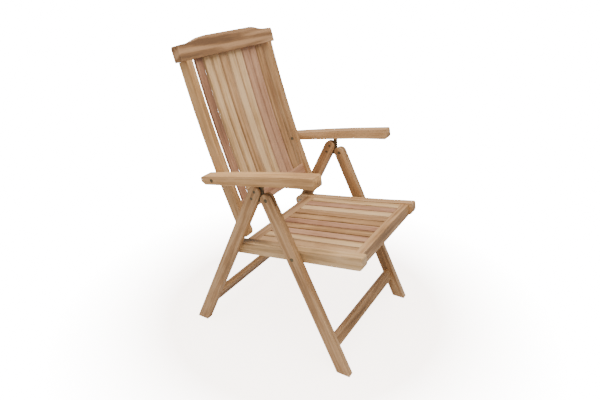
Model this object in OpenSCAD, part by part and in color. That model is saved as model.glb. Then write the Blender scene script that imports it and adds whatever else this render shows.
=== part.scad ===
// Folding garden armchair in oiled hardwood, with a reclining slatted back.
// X runs across the chair, the sitter faces -Y, and Z is up from the floor.
// Sizes are millimetres. "Right" and "left" are the sitter's own.

/* [Frame] */
// Clear width between the inner faces of the legs
inner_w = 508; // [440:1:640]
// Thickness of a leg, across the chair
leg_t = 27; // [22:0.5:34]
// Width of a leg, seen from the side
leg_w = 45; // [38:0.5:54]
// Distance up the rear leg from its foot to the level of the leg pivot
leg_pivot_up = 680; // [600:1:820]
// Angle of the rear leg from the floor
rear_lean = 65.7; // [60:0.1:72]
// Angle of the front leg from the floor
front_lean = 62.9; // [57:0.1:70]
// Gap between the two legs of one side when the chair is folded flat
folded_gap = 4.8; // [3:0.1:12]
// Height of the front stretcher, along the legs
front_stretcher_h = 42.5; // [30:0.5:60]
// Height of the rear stretcher, along the legs
rear_stretcher_h = 54.5; // [40:0.5:70]
// Distance up the legs from the feet to the middle of the stretchers
stretcher_up = 110; // [80:1:180]
// Thickness of both stretchers
stretcher_t = 22; // [16:0.5:26]

/* [Seat] */
// Distance down the front leg from the leg pivot to the seat pivot
seat_pivot_down = 218.8; // [190:0.1:250]
// Distance from the seat pivot back to the sliding pins
seat_reach = 264; // [250:0.5:285]
// Distance from the seat pivot forward to the nose of the side rails
seat_front = 246; // [200:1:270]
// Depth of a seat side rail
seat_rail_h = 42.6; // [34:0.2:50]
// Thickness of a seat side rail, across the chair
seat_rail_t = 36; // [24:0.5:42]
// Number of seat slats
seat_slats = 10; // [10:1:10]
// Width of a seat slat
seat_slat_w = 34; // [26:0.5:36]
// Thickness of a seat slat
seat_slat_t = 14; // [10:0.5:18]

/* [Back] */
// Height of the back along its own slope, from the back pivot to the top
back_len = 684; // [560:1:800]
// Angle that the back leans from upright
back_lean = 20; // [14:0.5:26]
// Depth of the hollow of the back, from its straight line
back_hollow = 14.5; // [4:0.5:24]
// Distance along the back from its pivot to the armrest bolt
arm_bolt_up = 216; // [205:1:230]
// Depth of a stile, front to back
stile_d = 39; // [32:0.5:46]
// Thickness of a stile, across the chair
stile_t = 28; // [22:0.5:34]
// Number of back slats
back_slats = 9; // [9:1:9]
// Width of a back slat
back_slat_w = 34; // [24:0.5:36]
// Gap between two back slats
back_slat_gap = 10.4; // [8:0.1:13]
// Height of the top rail at its middle
top_rail_h = 70; // [50:1:84]
// Thickness of the top rail
top_rail_t = 34; // [24:0.5:38]
// Overhang of the top rail past the outer face of each stile
top_rail_over = 22; // [6:0.5:34]

/* [Armrests] */
// Width of an armrest
arm_w = 50; // [42:0.5:70]
// Distance from the armrest bolt forward to the end of the armrest
arm_front = 411; // [340:1:440]
// Distance from the armrest bolt back to the rear end of the armrest
arm_rear = 50; // [40:1:60]
// Depth of the armrest below its bolt line
arm_below = 15; // [13:0.5:20]
// Depth of the armrest above its bolt line
arm_above = 14; // [12:0.5:20]

/* [Hidden] */
$fn = 64;
teak = [0.74, 0.55, 0.35];
teak_pale = [0.83, 0.66, 0.44];
teak_warm = [0.72, 0.48, 0.32];
brass = [0.45, 0.38, 0.24];
steel = [0.62, 0.62, 0.60];
e = 1;

// Clearances
side_gap = 4;        // between the legs and whatever folds between them
run_gap = 0.05;      // radial, a bolt that turns in its bore
bolt_gap = 0.1;      // radial, a bolt that stays still in its bore
joint_gap = 0.2;     // around a tenon in its mortise
face_gap = 0.3;      // between faces that slide past each other

// Fastenings
bolt_d = 8;          // shank of the pivot bolts
head_d = 13;         // heads and nuts of the pivot bolts
small_d = 6;         // shank of the bolts that hold the tongues
small_head_d = 10;   // heads and nuts of the small bolts
head_t = 2.6;        // thickness of a head or a nut
sink = 3;            // depth of the recess that a head sits in
washer_d = 19;

// Tongue at the top of each rear leg, and its rounded crown under the armrest
tongue_t = 6;
tongue_r = 11;
crown_r = 7.5;
crown_up = 40.5;     // along the leg, above the level of the leg pivot
crown_fwd = 4.6;     // in front of the middle of the leg
crown_drop = 14.2;   // middle of the crown below the armrest's bolt line

// Seat slide
pin_d = 8;
groove_w = 12;
groove_d = 10;
groove_run = 212;    // length of the groove, middle to middle of its ends
groove_lead = 4;     // length of the groove above the pin

// Recline
recline_max = 30;
recline_steps = 5;

// Across the chair
leg_in = inner_w / 2;
leg_out = leg_in + leg_t;
rail_out = leg_in - side_gap;
rail_in = rail_out - seat_rail_t;
stile_in = rail_out - stile_t;
arm_out = leg_in + arm_w;
tongue_x = leg_in + leg_t / 2;

// Side view, as [y, z], with the rear foot's middle at y = 0
function rl(s, o = 0) = [-s * cos(rear_lean) - o * sin(rear_lean), s * sin(rear_lean) - o * cos(rear_lean)];
leg_pivot = rl(leg_pivot_up, leg_w + folded_gap);
function fl(s, o = 0) = [leg_pivot[0] - s * cos(front_lean) - o * sin(front_lean),
                         leg_pivot[1] - s * sin(front_lean) + o * cos(front_lean)];
front_len = leg_pivot[1] / sin(front_lean);
seat_pivot = fl(seat_pivot_down);

// The sliding pin rests where its arc about the seat pivot meets the middle of the rear leg
sp_s = -seat_pivot[0] * cos(rear_lean) + seat_pivot[1] * sin(rear_lean);
sp_o = -seat_pivot[0] * sin(rear_lean) - seat_pivot[1] * cos(rear_lean);
pin_s = sp_s - sqrt(max(0, seat_reach * seat_reach - sp_o * sp_o));
slide_pin = rl(pin_s);
seat_tilt = atan2(seat_pivot[1] - slide_pin[1], slide_pin[0] - seat_pivot[0]);

// Back: u runs up its straight line, and the hollow pushes the middle to the rear
back_pivot_down = 197;
back_pivot_fwd = 8.6;
back_pivot = rl(leg_pivot_up - back_pivot_down, back_pivot_fwd);
function hollow(u) = 4 * back_hollow * (u / back_len) * (1 - u / back_len);
function lean(u) = back_lean + atan(4 * back_hollow / back_len * (1 - 2 * u / back_len));
function bk(u, v = 0) =
    [back_pivot[0] + u * sin(back_lean) + hollow(u) * cos(back_lean) - v * cos(lean(u)),
     back_pivot[1] + u * cos(back_lean) - hollow(u) * sin(back_lean) + v * sin(lean(u))];
rail_u = back_len - top_rail_h;
board_u = 79;
board_h = 48;
board_t = 17;
back_slat_t = 12;
slat_in = 12;
arm_bolt = bk(arm_bolt_up);
crown = rl(leg_pivot_up + crown_up, crown_fwd);

// Armrest: u runs forward from its bolt, v is up from its bolt line
function dist(a, b) = norm(a - b);
arm_rise = atan2(crown[1] - arm_bolt[1], arm_bolt[0] - crown[0]) + asin(crown_drop / dist(crown, arm_bolt));
function turned(p, c, a) = [c[0] + (p[0] - c[0]) * cos(a) - (p[1] - c[1]) * sin(a),
                            c[1] + (p[0] - c[0]) * sin(a) + (p[1] - c[1]) * cos(a)];
function crown_u(a) = sqrt(pow(dist(crown, turned(arm_bolt, back_pivot, -a)), 2) - crown_drop * crown_drop);
arm_crown = 4.5;
arm_drop = 6;
arm_mid = 0.54 * arm_front;
function arm_top(u) = arm_above + arm_crown * (1 - pow((u - arm_mid) / (1.23 * arm_mid), 2));
function arm_bottom(u) = -arm_below - (u > arm_mid ? arm_drop * pow((u - arm_mid) / (arm_front - arm_mid), 2) : 0);

// The origin is under the middle of the chair's own length
nose_r = 18;
y_front = min(seat_pivot[0] - (seat_front - nose_r) * cos(seat_tilt)
              - (seat_rail_h / 2 - nose_r) * sin(seat_tilt) - nose_r,
              fl(front_len)[0] - leg_w / 2 / sin(front_lean));
y_rear = max(bk(rail_u)[0] + (top_rail_t - stile_d / 2) * cos(lean(rail_u)) + top_rail_h * sin(lean(rail_u)),
             leg_w / 2 / sin(rear_lean));
y_shift = -(y_front + y_rear) / 2;

// ---------- placing ----------

module centred() {
    translate([0, y_shift, 0]) children();
}

// A left piece is drawn at +X, and its right twin is the mirror image
module to_right() {
    mirror([1, 0, 0]) children();
}

module both() {
    children();
    mirror([1, 0, 0]) children();
}

// A flat outline in the side view, made solid from x0 to x1
module slab(x0, x1) {
    translate([x0, 0, 0])
        rotate([90, 0, 90])
            linear_extrude(height = x1 - x0)
                children();
}

// A round bar or bore across the chair
module rod(p, x0, x1, d) {
    translate([x0, p[0], p[1]])
        rotate([0, 90, 0])
            cylinder(d = d, h = x1 - x0);
}

module bar2d(p, q, r) {
    d = q - p;
    translate(p) rotate(atan2(d[1], d[0])) translate([0, -r]) square([norm(d), 2 * r]);
    translate(p) circle(r = r);
    translate(q) circle(r = r);
}

module in_seat() {
    translate([0, seat_pivot[0], seat_pivot[1]])
        rotate([-seat_tilt, 0, 0])
            children();
}

module in_back(u) {
    translate([0, bk(u)[0], bk(u)[1]])
        rotate([-lean(u), 0, 0])
            children();
}

module in_arm() {
    translate([0, arm_bolt[0], arm_bolt[1]])
        rotate([-arm_rise, 0, 0])
            children();
}

// A bolt with a head on the outer side (x1) and a nut on the inner side (x0)
module bolt(p, x0, x1, d, hd) {
    rod(p, x0, x1, d);
    rod(p, x0, x0 + head_t, hd);
    rod(p, x1 - head_t, x1, hd);
}

// The bore for such a bolt through a piece from x0 to x1, with both recesses
module bolt_bore(p, x0, x1, d, hd, gap) {
    rod(p, x0 - e, x1 + e, d + 2 * gap);
    rod(p, x0 - e, x0 + sink, hd + 2 * face_gap);
    rod(p, x1 - sink, x1 + e, hd + 2 * face_gap);
}

module washer(p, x0, x1) {
    difference() {
        rod(p, x0, x1, washer_d);
        rod(p, x0 - e, x1 + e, bolt_d + 1);
    }
}

// ---------- rear frame ----------

tongue_a = rl(leg_pivot_up + 1.5);
tongue_b = rl(leg_pivot_up - 28);

module tongue_2d() {
    hull() {
        translate(leg_pivot) circle(r = tongue_r, $fn = 32);
        translate(tongue_a) circle(r = tongue_r, $fn = 32);
        translate(tongue_b) circle(r = tongue_r, $fn = 32);
    }
    bar2d((leg_pivot + tongue_a) / 2, crown, crown_r);
}

module tongue() {
    x0 = tongue_x - tongue_t / 2;
    difference() {
        slab(x0, x0 + tongue_t) tongue_2d();
        rod(tongue_a, x0 - e, x0 + tongue_t + e, small_d + 2 * bolt_gap);
        rod(tongue_b, x0 - e, x0 + tongue_t + e, small_d + 2 * bolt_gap);
        rod(leg_pivot, x0 - e, x0 + tongue_t + e, bolt_d + 2 * run_gap);
    }
}

module rear_leg_2d() {
    half = leg_w / 2;
    cut = half / tan(rear_lean);
    polygon([rl(cut, half), rl(-cut, -half), rl(leg_pivot_up - 1, -half), rl(leg_pivot_up - 1, half)]);
    translate(rl(leg_pivot_up - 1)) circle(r = half);
}

module stretcher_tenon(p, a, h, gap) {
    slab(leg_in - e, leg_in + 15 + gap)
        translate(p) rotate(a) square([h - 14 + 2 * gap, 12 + 2 * gap], center = true);
}

module rear_leg() {
    difference() {
        slab(leg_in, leg_out) rear_leg_2d();
        slab(leg_in - e, leg_in + groove_d)
            bar2d(rl(pin_s + groove_lead), rl(pin_s + groove_lead - groove_run), groove_w / 2);
        slab(tongue_x - tongue_t / 2, tongue_x + tongue_t / 2)
            translate(rl(leg_pivot_up - 42)) rotate(180 - rear_lean)
                translate([0, -leg_w]) square([leg_w * 2, leg_w * 2]);
        bolt_bore(tongue_a, leg_in, leg_out, small_d, small_head_d, bolt_gap);
        bolt_bore(tongue_b, leg_in, leg_out, small_d, small_head_d, bolt_gap);
        rod(back_pivot, leg_in - e, leg_in + 18 + face_gap, bolt_d + 2 * run_gap);
        stretcher_tenon(rl(stretcher_up), 180 - rear_lean, rear_stretcher_h, joint_gap);
    }
}

module stretcher(p, a, h) {
    slab(-leg_in, leg_in) translate(p) rotate(a) square([h, stretcher_t], center = true);
    both() stretcher_tenon(p, a, h, 0);
}

module rear_leg_left() { color(teak) centred() rear_leg(); }
module rear_leg_right() { color(teak) centred() to_right() rear_leg(); }
module rear_stretcher() {
    color(teak) centred() stretcher(rl(stretcher_up), 180 - rear_lean, rear_stretcher_h);
}
module arm_tongue_left() { color(brass) centred() tongue(); }
module arm_tongue_right() { color(brass) centred() to_right() tongue(); }
module tongue_bolts() {
    color(brass) centred() both() {
        bolt(tongue_a, leg_in + sink - head_t, leg_out - sink + head_t, small_d, small_head_d);
        bolt(tongue_b, leg_in + sink - head_t, leg_out - sink + head_t, small_d, small_head_d);
    }
}

// ---------- front frame ----------

front_stretcher_at = fl(front_len - stretcher_up - 5);

module front_leg_2d() {
    half = leg_w / 2;
    cut = half / tan(front_lean);
    polygon([fl(front_len + cut, half), fl(front_len - cut, -half), fl(0, -half), fl(0, half)]);
    translate(leg_pivot) circle(r = half);
}

module front_leg() {
    difference() {
        slab(leg_in, leg_out) front_leg_2d();
        rod(leg_pivot, tongue_x - tongue_t / 2 - face_gap, tongue_x + tongue_t / 2 + face_gap,
            leg_w * 1.6);
        bolt_bore(leg_pivot, leg_in, leg_out, bolt_d, head_d, bolt_gap);
        rod(seat_pivot, leg_in - e, leg_out + e, bolt_d + 2 * bolt_gap);
        rod(seat_pivot, leg_out - sink, leg_out + e, head_d + 2 * face_gap);
        stretcher_tenon(front_stretcher_at, front_lean, front_stretcher_h, joint_gap);
    }
}

module front_leg_left() { color(teak) centred() front_leg(); }
module front_leg_right() { color(teak) centred() to_right() front_leg(); }
module front_stretcher() {
    color(teak) centred() stretcher(front_stretcher_at, front_lean, front_stretcher_h);
}
module leg_pivot_bolts() {
    color(brass) centred() both()
        bolt(leg_pivot, leg_in + sink - head_t, leg_out - sink + head_t, bolt_d, head_d);
}
module seat_pivot_bolts() {
    color(brass) centred() both() {
        rod(seat_pivot, rail_out - 24, leg_out - sink + head_t, bolt_d);
        rod(seat_pivot, leg_out - sink, leg_out - sink + head_t, head_d);
    }
}

// ---------- seat ----------

half_h = seat_rail_h / 2;
slat_top = half_h;
seat_dish = 4.5;
front_rail_a = 201.6 / 246 * seat_front;
front_rail_b = 231 / 246 * seat_front;
rear_rail_a = 229 / 264 * seat_reach;
rear_rail_b = 184 / 264 * seat_reach;
rear_rail_h = 27;
slat_tenon = 10;
rail_tenon = 14;
slat_edge = 2.5;
seat_pitch = (2 * rail_in - 2 * slat_edge - seat_slat_w) / (seat_slats - 1);
function rail_top(s) = half_h + seat_dish * pow(s / seat_front, 2);

module seat_rail_2d() {
    polygon(concat(
        [[seat_reach, -half_h], [-(seat_front - nose_r), -half_h],
         [-seat_front, nose_r - half_h], [-seat_front, rail_top(seat_front) - 4]],
        [for (k = [12:-1:0]) [-(seat_front - 4) * k / 12, rail_top((seat_front - 4) * k / 12)]],
        [[seat_reach, half_h]]));
    translate([-(seat_front - nose_r), nose_r - half_h]) circle(r = nose_r);
    translate([seat_reach, 0]) circle(r = half_h);
}

module cross_rail(a, b, z0, z1, gap) {
    both() translate([-rail_in - rail_tenon - gap, -b + 6 - gap, z0 + 6 - gap])
        cube([rail_in + rail_tenon + gap, b - a - 12 + 2 * gap, z1 - z0 - 12 + 2 * gap]);
}

module seat_rail() {
    difference() {
        slab(rail_in, rail_out) seat_rail_2d();
        cross_rail(front_rail_a, front_rail_b, -half_h, half_h, joint_gap);
        cross_rail(-rear_rail_a, -rear_rail_b, half_h - rear_rail_h, half_h, joint_gap);
        rod([0, 0], rail_out - 24 - face_gap, rail_out + e, bolt_d + 2 * run_gap);
        rod([seat_reach, 0], rail_in - e, rail_out + e, pin_d + 2 * bolt_gap);
    }
}

module seat_slat_at(i, gap) {
    x = -rail_in + slat_edge + seat_slat_w / 2 + i * seat_pitch;
    translate([x - seat_slat_w / 2 - gap, -front_rail_a - gap, slat_top - seat_slat_t])
        cube([seat_slat_w + 2 * gap, front_rail_a + rear_rail_b + 2 * gap, seat_slat_t + gap]);
}

module seat_slat_tenon(i, gap) {
    x = -rail_in + slat_edge + seat_slat_w / 2 + i * seat_pitch;
    translate([x - seat_slat_w / 2 + 4 - gap, -front_rail_a - slat_tenon - gap,
               slat_top - seat_slat_t + 3 - gap])
        cube([seat_slat_w - 8 + 2 * gap, front_rail_a + rear_rail_b + 2 * slat_tenon + 2 * gap,
              seat_slat_t - 6 + 2 * gap]);
}

module seat_slat(i) {
    color(i % 3 == 1 ? teak_warm : teak) centred() in_seat() {
        seat_slat_at(i, 0);
        seat_slat_tenon(i, 0);
    }
}

module seat_cross(a, b, z0, z1) {
    color(teak) centred() in_seat() difference() {
        union() {
            translate([-rail_in, -b, z0]) cube([2 * rail_in, b - a, z1 - z0]);
            cross_rail(a, b, z0, z1, 0);
        }
        for (i = [0:seat_slats - 1]) seat_slat_tenon(i, joint_gap);
    }
}

module seat_rail_left() { color(teak) centred() in_seat() seat_rail(); }
module seat_rail_right() { color(teak) centred() in_seat() to_right() seat_rail(); }
module seat_front_rail() { seat_cross(front_rail_a, front_rail_b, -half_h, half_h); }
module seat_rear_rail() { seat_cross(-rear_rail_a, -rear_rail_b, half_h - rear_rail_h, half_h); }
module seat_slat_1() { seat_slat(0); }
module seat_slat_2() { seat_slat(1); }
module seat_slat_3() { seat_slat(2); }
module seat_slat_4() { seat_slat(3); }
module seat_slat_5() { seat_slat(4); }
module seat_slat_6() { seat_slat(5); }
module seat_slat_7() { seat_slat(6); }
module seat_slat_8() { seat_slat(7); }
module seat_slat_9() { seat_slat(8); }
module seat_slat_10() { seat_slat(9); }
module seat_slide_pins() {
    color(steel) centred() in_seat() both() {
        rod([seat_reach, 0], rail_in - head_t, leg_in + groove_d - 1.5, pin_d);
        rod([seat_reach, 0], rail_in - head_t, rail_in, head_d);
    }
}
module seat_washers() {
    color(steel) centred() in_seat() both()
        washer([0, 0], rail_out, leg_in - face_gap);
}

// ---------- back ----------

slat_pitch = back_slat_w + back_slat_gap;

module curved_2d(u0, u1, half) {
    n = 16;
    polygon(concat([for (k = [0:n]) bk(u0 + (u1 - u0) * k / n, half)],
                   [for (k = [n:-1:0]) bk(u0 + (u1 - u0) * k / n, -half)]));
}

module board_tenon(gap) {
    in_back(board_u)
        translate([-stile_in - 12 - gap, -6 - gap, -board_h / 2 + 6 - gap])
            cube([2 * stile_in + 24 + 2 * gap, 12 + 2 * gap, board_h - 12 + 2 * gap]);
}

module stile_tenon(gap) {
    in_back(rail_u)
        translate([stile_in + 7 - gap, -13.5 - gap, -e])
            cube([14 + 2 * gap, 14 + 2 * gap, 25 + e + gap]);
}

module stile() {
    difference() {
        union() {
            slab(stile_in, rail_out) {
                curved_2d(0, rail_u, stile_d / 2);
                translate(back_pivot) circle(d = stile_d);
            }
            stile_tenon(0);
        }
        board_tenon(joint_gap);
        rod(back_pivot, stile_in - e, rail_out + e, bolt_d + 2 * bolt_gap);
        rod(back_pivot, stile_in - e, stile_in + sink, head_d + 2 * face_gap);
        rod(arm_bolt, stile_in - e, rail_out + e, bolt_d + 2 * run_gap);
        rod(arm_bolt, stile_in - e, stile_in + sink + face_gap, head_d + 2 * face_gap);
    }
}

module back_slat_solid(i, gap) {
    x = (i - (back_slats - 1) / 2) * slat_pitch;
    u0 = board_u + board_h / 2 - slat_in;
    u1 = rail_u + slat_in;
    slab(x - back_slat_w / 2 - gap, x + back_slat_w / 2 + gap)
        curved_2d(u0, u1 + gap, back_slat_t / 2 + gap);
}

module back_slat(i) {
    color(i % 3 == 0 ? teak_warm : teak) centred() back_slat_solid(i, 0);
}

// Front view of the top rail: low shoulders, a ramp and a flat middle
module top_rail_2d() {
    half = rail_out + top_rail_over;
    flat = 0.47 * half;
    ramp = 0.81 * half;
    low = 0.79 * top_rail_h;
    n = 10;
    polygon(concat(
        [[-half, 0], [half, 0], [half, low - 8], [half - 4, low - 2]],
        [for (k = [0:n]) [ramp - (ramp - flat) * k / n,
                          low + (top_rail_h - low) * (1 - cos(180 * k / n)) / 2]],
        [for (k = [n:-1:0]) [-ramp + (ramp - flat) * k / n,
                             low + (top_rail_h - low) * (1 - cos(180 * k / n)) / 2]],
        [[-half + 4, low - 2], [-half, low - 8]]));
}

module back_stile_left() { color(teak) centred() stile(); }
module back_stile_right() { color(teak) centred() to_right() stile(); }
module top_rail() {
    color(teak) centred() difference() {
        in_back(rail_u)
            translate([0, top_rail_t - stile_d / 2, 0])
                rotate([90, 0, 0])
                    linear_extrude(height = top_rail_t)
                        top_rail_2d();
        both() stile_tenon(joint_gap);
        for (i = [0:back_slats - 1]) back_slat_solid(i, joint_gap);
    }
}
module bottom_rail() {
    color(teak_warm) centred() difference() {
        union() {
            in_back(board_u)
                translate([-stile_in, -board_t / 2, -board_h / 2])
                    cube([2 * stile_in, board_t, board_h]);
            board_tenon(0);
        }
        for (i = [0:back_slats - 1]) back_slat_solid(i, joint_gap / 2);
    }
}
module back_slat_1() { back_slat(0); }
module back_slat_2() { back_slat(1); }
module back_slat_3() { back_slat(2); }
module back_slat_4() { back_slat(3); }
module back_slat_5() { back_slat(4); }
module back_slat_6() { back_slat(5); }
module back_slat_7() { back_slat(6); }
module back_slat_8() { back_slat(7); }
module back_slat_9() { back_slat(8); }
module back_pivot_bolts() {
    color(brass) centred() both() {
        rod(back_pivot, stile_in + sink - head_t, leg_in + 18, bolt_d);
        rod(back_pivot, stile_in + sink - head_t, stile_in + sink, head_d);
    }
}
module back_washers() {
    color(steel) centred() both() {
        washer(back_pivot, rail_out, leg_in - face_gap);
        washer(arm_bolt, rail_out, leg_in - face_gap);
    }
}

// ---------- armrests ----------

module arm_bolt_solid() {
    bolt(arm_bolt, stile_in + sink - head_t, arm_out - sink + head_t, bolt_d, head_d);
}

module arm_side_2d() {
    n = 20;
    tip = 12;
    polygon(concat(
        [for (k = [0:n]) let (u = -arm_rear + 8 + (arm_front - 5 + arm_rear - 8) * k / n) [-u, arm_top(u)]],
        [[-arm_front, arm_top(arm_front) - tip], [-arm_front, arm_bottom(arm_front) + tip],
         [-arm_front + 9, arm_bottom(arm_front - 9)]],
        [for (k = [n:-1:0]) let (u = -arm_rear + 20 + (arm_front - 12 + arm_rear - 20) * k / n)
            [-u, arm_bottom(u)]],
        [[arm_rear - 6, -arm_below + 10], [arm_rear, arm_above - 9]]));
}

module arm_plan_2d() {
    r = 16;
    q = 7;
    translate([leg_in + q, -arm_front + r]) square([arm_w - 2 * q, arm_front + arm_rear - r]);
    translate([leg_in, -arm_front + r]) square([arm_w, arm_front + arm_rear - r - q]);
    translate([leg_in + r, -arm_front]) square([arm_w - 2 * r, r + e]);
    for (x = [leg_in + r, arm_out - r]) translate([x, -arm_front + r]) circle(r = r);
    for (x = [leg_in + q, arm_out - q]) translate([x, arm_rear - q]) circle(r = q);
}

module armrest() {
    difference() {
        in_arm() intersection() {
            slab(leg_in, arm_out) arm_side_2d();
            translate([0, 0, -60]) linear_extrude(height = 120) arm_plan_2d();
        }
        in_arm() {
            slab(tongue_x - tongue_t / 2 - 1.5, tongue_x + tongue_t / 2 + 1.5) {
                translate([-crown_u(recline_max) - 14, -60])
                    square([crown_u(recline_max) - crown_u(0) + 28, 57]);
                for (k = [0:recline_steps - 1])
                    translate([-crown_u(recline_max * k / (recline_steps - 1)), -5])
                        circle(r = crown_r + 1);
            }
        }
        rod(arm_bolt, leg_in - e, arm_out + e, bolt_d + 2 * run_gap);
        rod(arm_bolt, arm_out - sink - face_gap, arm_out + e, head_d + 2 * face_gap);
    }
}

module arm_pivot_bolt_left() { color(brass) centred() arm_bolt_solid(); }
module arm_pivot_bolt_right() { color(brass) centred() to_right() arm_bolt_solid(); }
module armrest_left() { color(teak) centred() armrest(); }
module armrest_right() { color(teak_pale) centred() to_right() armrest(); }

rear_leg_right();
rear_leg_left();
rear_stretcher();
arm_tongue_right();
arm_tongue_left();
tongue_bolts();
front_leg_right();
front_leg_left();
front_stretcher();
leg_pivot_bolts();
seat_pivot_bolts();
seat_rail_right();
seat_rail_left();
seat_front_rail();
seat_rear_rail();
seat_slat_1();
seat_slat_2();
seat_slat_3();
seat_slat_4();
seat_slat_5();
seat_slat_6();
seat_slat_7();
seat_slat_8();
seat_slat_9();
seat_slat_10();
seat_slide_pins();
seat_washers();
back_stile_right();
back_stile_left();
top_rail();
bottom_rail();
back_slat_1();
back_slat_2();
back_slat_3();
back_slat_4();
back_slat_5();
back_slat_6();
back_slat_7();
back_slat_8();
back_slat_9();
back_pivot_bolts();
back_washers();
arm_pivot_bolt_right();
arm_pivot_bolt_left();
armrest_right();
armrest_left();
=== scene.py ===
"""Looks of a folding garden armchair in oiled teak with aged brass bolts."""
import math

import bmesh
import bpy
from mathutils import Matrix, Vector


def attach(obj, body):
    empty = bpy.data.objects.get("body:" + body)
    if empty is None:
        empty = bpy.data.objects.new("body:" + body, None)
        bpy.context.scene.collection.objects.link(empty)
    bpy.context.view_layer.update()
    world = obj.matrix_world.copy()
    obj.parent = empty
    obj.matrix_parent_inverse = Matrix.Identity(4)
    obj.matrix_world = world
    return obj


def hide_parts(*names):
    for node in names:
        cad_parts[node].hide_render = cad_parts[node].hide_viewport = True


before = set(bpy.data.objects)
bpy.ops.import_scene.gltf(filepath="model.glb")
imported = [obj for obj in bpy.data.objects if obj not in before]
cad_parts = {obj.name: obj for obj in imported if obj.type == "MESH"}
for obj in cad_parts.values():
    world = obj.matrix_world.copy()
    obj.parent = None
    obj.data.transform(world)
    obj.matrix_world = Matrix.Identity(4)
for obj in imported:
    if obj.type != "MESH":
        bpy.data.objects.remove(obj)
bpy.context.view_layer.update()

# Slopes of the members, in degrees from level, in the side view
REAR_LEG = 180 - 65.7
FRONT_LEG = 62.9
SEAT = 180 - 8.94
BACK = 70
ARM = 180 - 10.67
ACROSS = None


# ---------- shader building ----------

class Value:
    """One socket of a node tree, with the sums that a material needs."""

    def __init__(self, finish, socket):
        self.finish = finish
        self.socket = socket

    def sum(self, operation, *others):
        return self.finish.node("ShaderNodeMath", {"operation": operation}, {0: self, **dict(enumerate(others, 1))})

    def __add__(self, other):
        return self.sum("ADD", other)

    __radd__ = __add__

    def __sub__(self, other):
        return self.sum("SUBTRACT", other)

    def __rsub__(self, other):
        return self.finish.node("ShaderNodeMath", {"operation": "SUBTRACT"}, {0: other, 1: self})

    def __mul__(self, other):
        return self.sum("MULTIPLY", other)

    __rmul__ = __mul__


class Finish:
    """A material with one Principled shader, and a way to add any node to it."""

    def __init__(self, name):
        self.material = bpy.data.materials.new(name)
        self.material.use_nodes = True
        self.tree = self.material.node_tree
        self.tree.nodes.clear()
        self.shader = self.tree.nodes.new("ShaderNodeBsdfPrincipled")
        end = self.tree.nodes.new("ShaderNodeOutputMaterial")
        self.tree.links.new(self.shader.outputs[0], end.inputs[0])

    def plug(self, socket, value):
        if isinstance(value, Value):
            self.tree.links.new(value.socket, socket)
        else:
            socket.default_value = value

    def node(self, kind, settings=None, inputs=None, output=0):
        made = self.tree.nodes.new(kind)
        for key, value in (settings or {}).items():
            if key == "stops":
                ramp = made.color_ramp
                while len(ramp.elements) < len(value):
                    ramp.elements.new(0.5)
                for element, (place, colour) in zip(ramp.elements, value):
                    element.position = place
                    element.color = (*colour, 1)
            else:
                setattr(made, key, value)
        for key, value in (inputs or {}).items():
            self.plug(made.inputs[key], value)
        return Value(self, made.outputs[output])

    def set(self, **sockets):
        for name, value in sockets.items():
            self.plug(self.shader.inputs[name.replace("_", " ")], value)
        return self.material


# ---------- materials ----------

def teak(name, slope, light, dark, seed, figure=0.5):
    """Oiled teak with its grain along a member that slopes in the side view, or across the chair."""
    finish = Finish(name)
    place = finish.node("ShaderNodeTexCoord", output="Object")
    if slope is not None:
        place = finish.node("ShaderNodeVectorRotate", {"rotation_type": "X_AXIS"},
                            {"Vector": place, "Angle": -math.radians(slope)})
        squeeze = (1, 0.045, 1)
    else:
        squeeze = (0.045, 1, 1)
    shift = (0.37 * seed, 0.91 * seed, 0.53 * seed)
    grain = finish.node("ShaderNodeMapping", None, {"Vector": place, "Location": shift, "Scale": squeeze})
    cloud = finish.node("ShaderNodeTexNoise", None,
                        {"Vector": grain, "Scale": 14, "Detail": 3, "Roughness": 0.5})
    growth = finish.node("ShaderNodeTexWave", {"wave_type": "BANDS", "bands_direction": "DIAGONAL"},
                         {"Vector": grain, "Scale": 11, "Distortion": 7, "Detail": 3,
                          "Detail Scale": 1.4, "Detail Roughness": 0.6}, output="Fac")
    streak = finish.node("ShaderNodeTexNoise", None,
                         {"Vector": grain, "Scale": 95, "Detail": 5, "Roughness": 0.62})
    fibre = finish.node("ShaderNodeTexNoise", None,
                        {"Vector": grain, "Scale": 520, "Detail": 3, "Roughness": 0.6})
    patch = finish.node("ShaderNodeTexNoise", None,
                        {"Vector": place, "Scale": 5.5, "Detail": 2, "Roughness": 0.5})
    depth = (0.5 + (growth - 0.5) * (0.34 * figure) + (cloud - 0.5) * 1.0 + (streak - 0.5) * 1.15
             + (fibre - 0.5) * 0.45 + (patch - 0.5) * 0.5)
    middle = tuple(0.5 * (a + b) for a, b in zip(light, dark))
    deep = tuple(0.62 * c for c in dark)
    colour = finish.node("ShaderNodeValToRGB",
                         {"stops": [(0.12, deep), (0.36, dark), (0.52, middle), (0.76, light)]},
                         {"Fac": depth})
    pores = fibre * 0.6 + streak * 0.4
    bump = finish.node("ShaderNodeBump", None,
                       {"Strength": 0.16, "Distance": 0.0006, "Height": pores})
    rough = 0.62 - depth * 0.22
    return finish.set(Base_Color=colour, Roughness=rough, Normal=bump, Specular_IOR_Level=0.38)


def metal(name, colour, dull, roughness):
    """A bolt's metal, with darker tarnish in soft patches."""
    finish = Finish(name)
    place = finish.node("ShaderNodeTexCoord", output="Object")
    patch = finish.node("ShaderNodeTexNoise", None,
                        {"Vector": place, "Scale": 260, "Detail": 4, "Roughness": 0.6})
    tone = finish.node("ShaderNodeValToRGB", {"stops": [(0.35, dull), (0.65, colour)]}, {"Fac": patch})
    rough = roughness + patch * 0.2
    return finish.set(Base_Color=tone, Roughness=rough, Metallic=0.85)


# ---------- wooden pieces ----------

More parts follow.
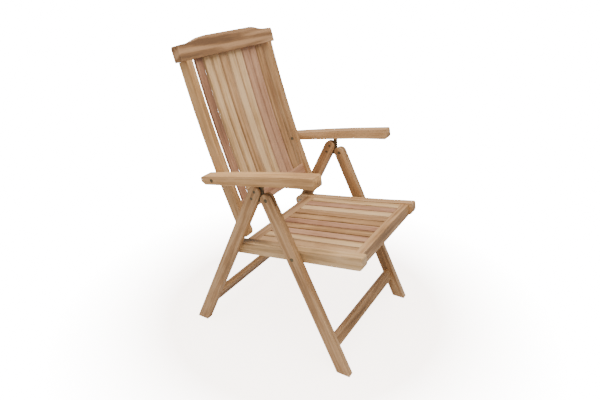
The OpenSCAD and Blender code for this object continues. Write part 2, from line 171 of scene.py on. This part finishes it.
def rounded(node, body, material, radius=0.0022):
    """A copy of a wooden member with its long edges rounded over."""
    shape = bmesh.new()
    shape.from_mesh(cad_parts[node].data)
    bmesh.ops.remove_doubles(shape, verts=shape.verts, dist=2e-6)
    bmesh.ops.dissolve_limit(shape, angle_limit=math.radians(0.6), verts=shape.verts, edges=shape.edges)
    short = 0.0018
    busy = set(v for e in shape.edges if e.calc_length() < short for v in e.verts)
    edges = [e for e in shape.edges
             if len(e.link_faces) == 2 and e.is_convex and e.calc_face_angle() > math.radians(38)
             and not (e.verts[0] in busy or e.verts[1] in busy)]
    bmesh.ops.bevel(shape, geom=edges, offset=radius, offset_type="OFFSET", segments=3,
                    affect="EDGES", profile=0.5, material=-1, clamp_overlap=True)
    for face in shape.faces:
        face.smooth = True
    for edge in shape.edges:
        edge.smooth = not (len(edge.link_faces) == 2 and edge.calc_face_angle() > math.radians(42))
    mesh = bpy.data.meshes.new(node + "_wood")
    shape.to_mesh(mesh)
    shape.free()
    mesh.materials.append(material)
    piece = bpy.data.objects.new(node + "_wood", mesh)
    bpy.context.scene.collection.objects.link(piece)
    even = piece.modifiers.new("even", "WEIGHTED_NORMAL")
    even.keep_sharp = True
    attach(piece, body)
    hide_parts(node)
    return piece


# Tones of the boards, each as its light and its dark wood; one tone is darkened as painted shade
HONEY = ((0.560, 0.335, 0.160), (0.350, 0.180, 0.070))
PALE = ((0.700, 0.460, 0.240), (0.500, 0.295, 0.125))
ROSY = ((0.510, 0.285, 0.160), (0.315, 0.145, 0.075))
# A darker tone that paints shade on members that sit in shadow, the far rear leg and the seat's rear rail; it also
# darkens one seat slat and one back slat
PAINTED_SHADE_TONE = ((0.450, 0.255, 0.115), (0.270, 0.130, 0.050))
AMBER = ((0.600, 0.350, 0.150), (0.400, 0.205, 0.075))
BROWN = ((0.430, 0.240, 0.115), (0.240, 0.120, 0.050))

WOOD = {
    "rear_leg_right": ("rear_frame", REAR_LEG, HONEY, 0.4),
    # The far rear leg takes the darker tone as painted shade, while the near rear leg keeps the lit tone
    "rear_leg_left": ("rear_frame", REAR_LEG, PAINTED_SHADE_TONE, 0.4),
    "rear_stretcher": ("rear_frame", ACROSS, HONEY, 0.7),
    "front_leg_right": ("front_frame", FRONT_LEG, HONEY, 0.4),
    "front_leg_left": ("front_frame", FRONT_LEG, HONEY, 0.4),
    "front_stretcher": ("front_frame", ACROSS, HONEY, 0.5),
    "seat_rail_right": ("seat", SEAT, PALE, 0.4),
    "seat_rail_left": ("seat", SEAT, HONEY, 0.4),
    "seat_front_rail": ("seat", ACROSS, HONEY, 0.4),
    # The seat's rear rail takes the darker tone as painted shade under the back
    "seat_rear_rail": ("seat", ACROSS, PAINTED_SHADE_TONE, 0.6),
    "back_stile_right": ("back", BACK, AMBER, 0.4),
    "back_stile_left": ("back", BACK, HONEY, 0.4),
    "top_rail": ("back", ACROSS, BROWN, 1.6),
    "bottom_rail": ("back", ACROSS, ROSY, 0.6),
    "armrest_right": ("arm_right", ARM, AMBER, 0.5),
    "armrest_left": ("arm_left", ARM, HONEY, 0.5),
}
for i, tone in enumerate((HONEY, PALE, ROSY, HONEY, ROSY, HONEY, PAINTED_SHADE_TONE, PALE, ROSY, PALE), 1):
    WOOD["seat_slat_%d" % i] = ("seat", SEAT, tone, 0.4)
for i, tone in enumerate((ROSY, PALE, PALE, HONEY, PALE, PALE, ROSY, ROSY, PAINTED_SHADE_TONE), 1):
    WOOD["back_slat_%d" % i] = ("back", BACK, tone, 0.5)

for seed, (node, (body, slope, tone, figure)) in enumerate(WOOD.items(), 1):
    material = teak("teak_" + node, slope, tone[0], tone[1], seed, figure)
    radius = 0.006 if node == "top_rail" else 0.0035 if node.startswith("arm") else 0.0022
    rounded(node, body, material, radius)

# ---------- bolts ----------

aged_brass = metal("aged_brass", (0.20, 0.155, 0.085), (0.075, 0.06, 0.04), 0.36)
zinc_steel = metal("zinc_steel", (0.42, 0.42, 0.40), (0.22, 0.22, 0.21), 0.34)
for node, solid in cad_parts.items():
    if node in WOOD:
        continue
    solid.data.materials.clear()
    solid.data.materials.append(zinc_steel if node in ("seat_slide_pins", "seat_washers", "back_washers")
                                else aged_brass)

# ---------- floor, light and camera ----------

def floor_material():
    """A pale sweep whose glow, seen by the eye but not as a light, is dimmed near the chair as painted shade and
    rises to white away from it.
    """
    finish = Finish("pale_floor")
    place = finish.node("ShaderNodeTexCoord", output="Object")
    reach = finish.node("ShaderNodeVectorMath", {"operation": "LENGTH"}, {0: place}, output="Value")
    # Glow ramp: dim and warm near the chair to paint the shade around and under it, white further out
    glow_and_painted_shade = finish.node("ShaderNodeValToRGB",
                       {"stops": [(0.30, (0.31, 0.275, 0.25)), (0.62, (1, 1, 1))]}, {"Fac": reach * 0.55})
    seen = finish.node("ShaderNodeLightPath", output="Is Camera Ray")
    finish.set(Emission_Color=glow_and_painted_shade, Emission_Strength=seen * 18)
    return finish.set(Base_Color=(0.80, 0.785, 0.765, 1), Roughness=0.9, Specular_IOR_Level=0.1)


shape = bmesh.new()
bmesh.ops.create_grid(shape, x_segments=2, y_segments=2, size=14)
mesh = bpy.data.meshes.new("floor")
shape.to_mesh(mesh)
shape.free()
mesh.materials.append(floor_material())
floor = bpy.data.objects.new("floor", mesh)
bpy.context.scene.collection.objects.link(floor)


def lamp(name, place, aim, size, watts, colour=(1, 1, 1)):
    light = bpy.data.lights.new(name, "AREA")
    light.shape = "SQUARE"
    light.size = size
    light.energy = watts
    light.color = colour
    holder = bpy.data.objects.new(name, light)
    holder.location = place
    holder.rotation_euler = (Vector(aim) - Vector(place)).to_track_quat("-Z", "Y").to_euler()
    bpy.context.scene.collection.objects.link(holder)


lamp("overhead", (-0.5, -0.2, 3.0), (0, 0, 0.4), 2.2, 120)
lamp("window", (-3.2, -1.2, 2.0), (0, 0, 0.5), 2.2, 26)

world = bpy.data.worlds.new("studio")
world.use_nodes = True
backdrop = world.node_tree.nodes["Background"]
backdrop.inputs["Color"].default_value = (1, 1, 1, 1)
backdrop.inputs["Strength"].default_value = 0.42
bright = world.node_tree.nodes.new("ShaderNodeBackground")
bright.inputs["Strength"].default_value = 24
seen = world.node_tree.nodes.new("ShaderNodeLightPath")
choice = world.node_tree.nodes.new("ShaderNodeMixShader")
world.node_tree.links.new(seen.outputs["Is Camera Ray"], choice.inputs[0])
world.node_tree.links.new(backdrop.outputs[0], choice.inputs[1])
world.node_tree.links.new(bright.outputs[0], choice.inputs[2])
world.node_tree.links.new(choice.outputs[0], world.node_tree.nodes["World Output"].inputs[0])
bpy.context.scene.world = world

lens = bpy.data.cameras.new("camera")
lens.lens = 31.0
lens.sensor_width = 36
lens.clip_end = 60
camera = bpy.data.objects.new("camera", lens)
camera.location = (-1.5406, -0.8886, 1.3238)
aim = Vector((0.0115, 0.0293, 0.4752))
camera.rotation_euler = (aim - Vector(camera.location)).to_track_quat("-Z", "Y").to_euler()
bpy.context.scene.collection.objects.link(camera)
bpy.context.scene.camera = camera
